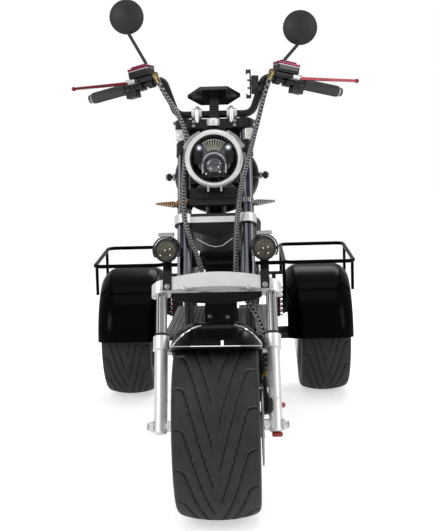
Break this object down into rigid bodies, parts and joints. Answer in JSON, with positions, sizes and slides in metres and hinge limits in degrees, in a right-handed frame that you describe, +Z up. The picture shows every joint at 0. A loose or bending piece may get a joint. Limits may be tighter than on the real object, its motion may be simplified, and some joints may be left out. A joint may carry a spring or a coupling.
{
  "type": "three-wheeled electric scooter",
  "caption": "Chopper style three-wheeled electric scooter with a wide raked fork, fat tyres, tank, saddle, floorboards and rear fenders with rails.",
  "frame": {"origin": "on the road under the middle of the vehicle's length and width", "axes": "+Z up, +Y towards the rear axle, +X to the right as seen from the front"},
  "size_m": [1.0246, 1.9686, 1.4355],
  "materials": {
    "black_gloss": "gloss",
    "frame_paint": "satin",
    "cast_silver": "satin",
    "chrome": "polished",
    "steel": "brushed",
    "alloy": "satin",
    "tyre_rubber": "matte",
    "rubber_grip": "matte",
    "black_plastic": "satin",
    "red_metal": "gloss",
    "lamp_unit": "gloss",
    "lamp_glass": "clear",
    "seat_leather": "satin",
    "red_lens": "gloss",
    "hose_braid": "matte"
  },
  "bodies": {
    "chassis": {"main_frame": "frame_paint", "tank_cover": "black_gloss", "tank_pegs": "chrome", "seat": "seat_leather", "battery_case": "black_plastic", "floorboards": "black_plastic", "rear_axle_beam": "frame_paint", "shock_absorbers": "black_plastic", "rear_calipers": "black_plastic", "rear_fender_left": "black_gloss", "rear_fender_right": "black_gloss", "fender_rails": "black_gloss", "tail_lamp": "red_lens"},
    "steered": {"lower_clamp": "cast_silver", "upper_clamp": "cast_silver", "fork_tubes": "chrome", "bridge_plate": "cast_silver", "fork_stanchions": "chrome", "fork_legs": "cast_silver", "front_axle": "steel", "front_fender": "black_gloss", "headlight_housing": "chrome", "headlight_unit": "lamp_unit", "headlight_lens": "lamp_glass", "headlight_bracket": "steel", "fork_shroud": "black_plastic", "spotlights": "black_plastic", "front_signals": "chrome", "bar_risers": "cast_silver", "handlebar": "frame_paint", "grips": "rubber_grip", "switch_boxes": "black_plastic", "lever_clamps": "black_plastic", "brake_levers": "red_metal", "display": "black_plastic", "mirrors": "black_plastic", "front_caliper": "black_plastic", "brake_hoses": "hose_braid", "holder_clip": "black_plastic"},
    "front_wheel": {"front_tyre": "tyre_rubber", "front_rim": "alloy", "front_disc": "steel"},
    "rear_wheel_left": {"rear_tyre_left": "tyre_rubber", "rear_rim_left": "alloy", "rear_disc_left": "steel"},
    "rear_wheel_right": {"rear_tyre_right": "tyre_rubber", "rear_rim_right": "alloy", "rear_disc_right": "steel"}
  },
  "joints": [
    {"name": "steering", "type": "hinge", "parent": "chassis", "child": "steered", "pos_m": [0, -0.37029, 0.87692], "axis": [0, 0.454, 0.891], "range_deg": [-35, 35]},
    {"name": "front_spin", "type": "hinge", "parent": "steered", "child": "front_wheel", "pos_m": [0, -0.74633, 0.238], "axis": [1, 0, 0], "continuous": true},
    {"name": "rear_left_spin", "type": "hinge", "parent": "chassis", "child": "rear_wheel_left", "pos_m": [-0.394, 0.70366, 0.238], "axis": [1, 0, 0], "continuous": true},
    {"name": "rear_right_spin", "type": "hinge", "parent": "chassis", "child": "rear_wheel_right", "pos_m": [0.394, 0.70366, 0.238], "axis": [1, 0, 0], "continuous": true}
  ]
}
